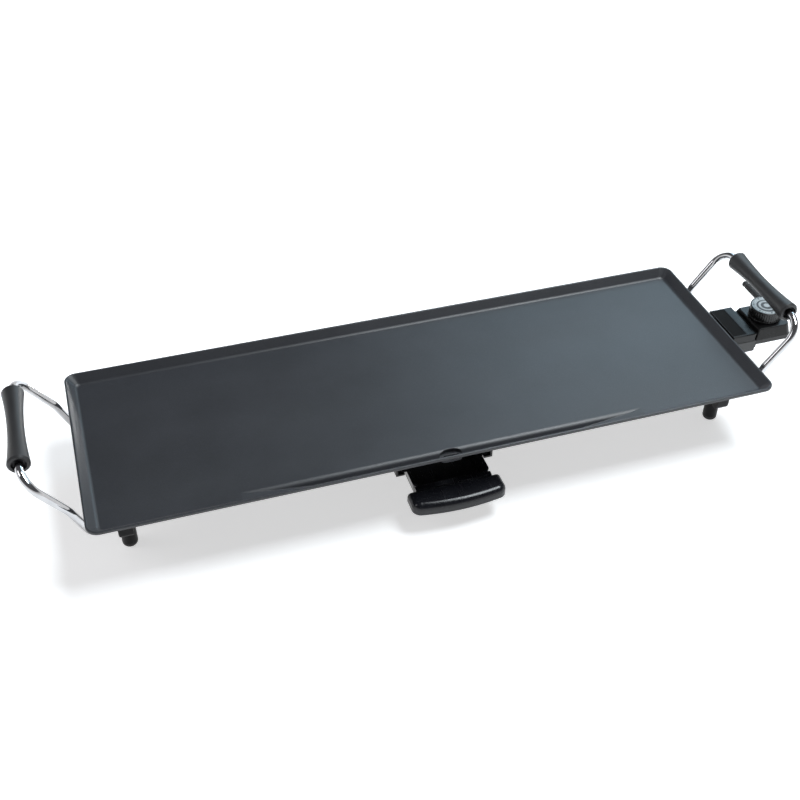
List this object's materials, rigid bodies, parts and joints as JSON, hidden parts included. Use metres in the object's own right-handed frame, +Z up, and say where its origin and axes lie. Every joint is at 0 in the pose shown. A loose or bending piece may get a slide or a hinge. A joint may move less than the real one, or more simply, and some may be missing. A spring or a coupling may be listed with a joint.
{
  "type": "electric griddle",
  "caption": "Long electric table griddle: shallow non-stick plate on four feet, wire carrying handles, front drip tray and plug-in thermostat with a rotary knob.",
  "frame": {"origin": "bottom centre of the whole object's box, on the table", "axes": "+X along the plate towards the thermostat, +Y towards the rear (the drip tray is at -Y), +Z up"},
  "size_m": [0.8384, 0.263, 0.1235],
  "materials": {
    "nonstick_plate": "satin charcoal non-stick coating on cast aluminium",
    "element_sheath": "heat-darkened tube sheath",
    "ceramic": "unglazed white ceramic bead",
    "terminal_metal": "plated pin",
    "bright_steel": "turned stainless steel",
    "zinc_screw": "zinc-plated",
    "shroud_plastic": "satin dark grey heat-proof moulding",
    "foot_plastic": "satin black phenolic moulding",
    "pad_rubber": "matte black rubber",
    "chromed_rod": "bright chrome plating",
    "grip_plastic": "fine-grained matte black",
    "rail_steel": "black enamelled strip",
    "tray_plastic": "glossy black moulding",
    "case_plastic": "semi-gloss black moulding",
    "case_base_plastic": "satin dark grey moulding",
    "label_plastic": "blank matte black panel",
    "block_plastic": "brown phenolic block",
    "spring_brass": "plain brass",
    "knob_plastic": "glossy black moulding",
    "dial_metal": "brushed silver dial with a printed scale",
    "lamp_lens": "clear red lens",
    "lamp_glass": "small glass lamp",
    "gland_rubber": "ribbed black rubber"
  },
  "bodies": {
    "griddle": {"connector_shroud": "shroud_plastic", "element_insulators": "ceramic", "foot_front_left": "foot_plastic", "foot_front_right": "foot_plastic", "foot_pad_front_left": "pad_rubber", "foot_pad_front_right": "pad_rubber", "foot_pad_rear_left": "pad_rubber", "foot_pad_rear_right": "pad_rubber", "foot_rear_left": "foot_plastic", "foot_rear_right": "foot_plastic", "foot_screws": "zinc_screw", "griddle_plate": "nonstick_plate", "grip_left": "grip_plastic", "grip_right": "grip_plastic", "handle_rod_left": "chromed_rod", "handle_rod_right": "chromed_rod", "heating_element": "element_sheath", "probe_sleeve": "bright_steel", "rod_set_screws": "zinc_screw", "shroud_screws": "zinc_screw", "terminal_pins": "terminal_metal", "tray_rail_left": "rail_steel", "tray_rail_right": "rail_steel", "tray_rail_screws": "zinc_screw"},
    "drip_tray": {"drip_tray": "tray_plastic"},
    "thermostat": {"bimetal_strip": "spring_brass", "case_screws": "zinc_screw", "contact_springs": "spring_brass", "cord_gland": "gland_rubber", "female_contacts": "spring_brass", "label_inlay": "label_plastic", "pilot_lamp": "lamp_glass", "pilot_lamp_lens": "lamp_lens", "probe_collar": "spring_brass", "sensing_probe": "bright_steel", "spindle_bush": "spring_brass", "spindle_nut": "bright_steel", "switch_block": "block_plastic", "thermostat_case_bottom": "case_base_plastic", "thermostat_case_top": "case_plastic"},
    "knob": {"dial_plate": "dial_metal", "knob_spindle": "bright_steel", "temperature_knob": "knob_plastic"}
  },
  "joints": [
    {"name": "drip_tray_slide", "type": "slide", "parent": "griddle", "child": "drip_tray", "axis": [0, -1, 0], "range_m": [0, 0.11]},
    {"name": "thermostat_unplug", "type": "slide", "parent": "griddle", "child": "thermostat", "axis": [1, 0, 0], "range_m": [0, 0.12]},
    {"name": "temperature_turn", "type": "hinge", "parent": "thermostat", "child": "knob", "pos_m": [0.39667, 0.0115, 0.078], "axis": [0, 0, -1], "range_deg": [0, 270]}
  ]
}
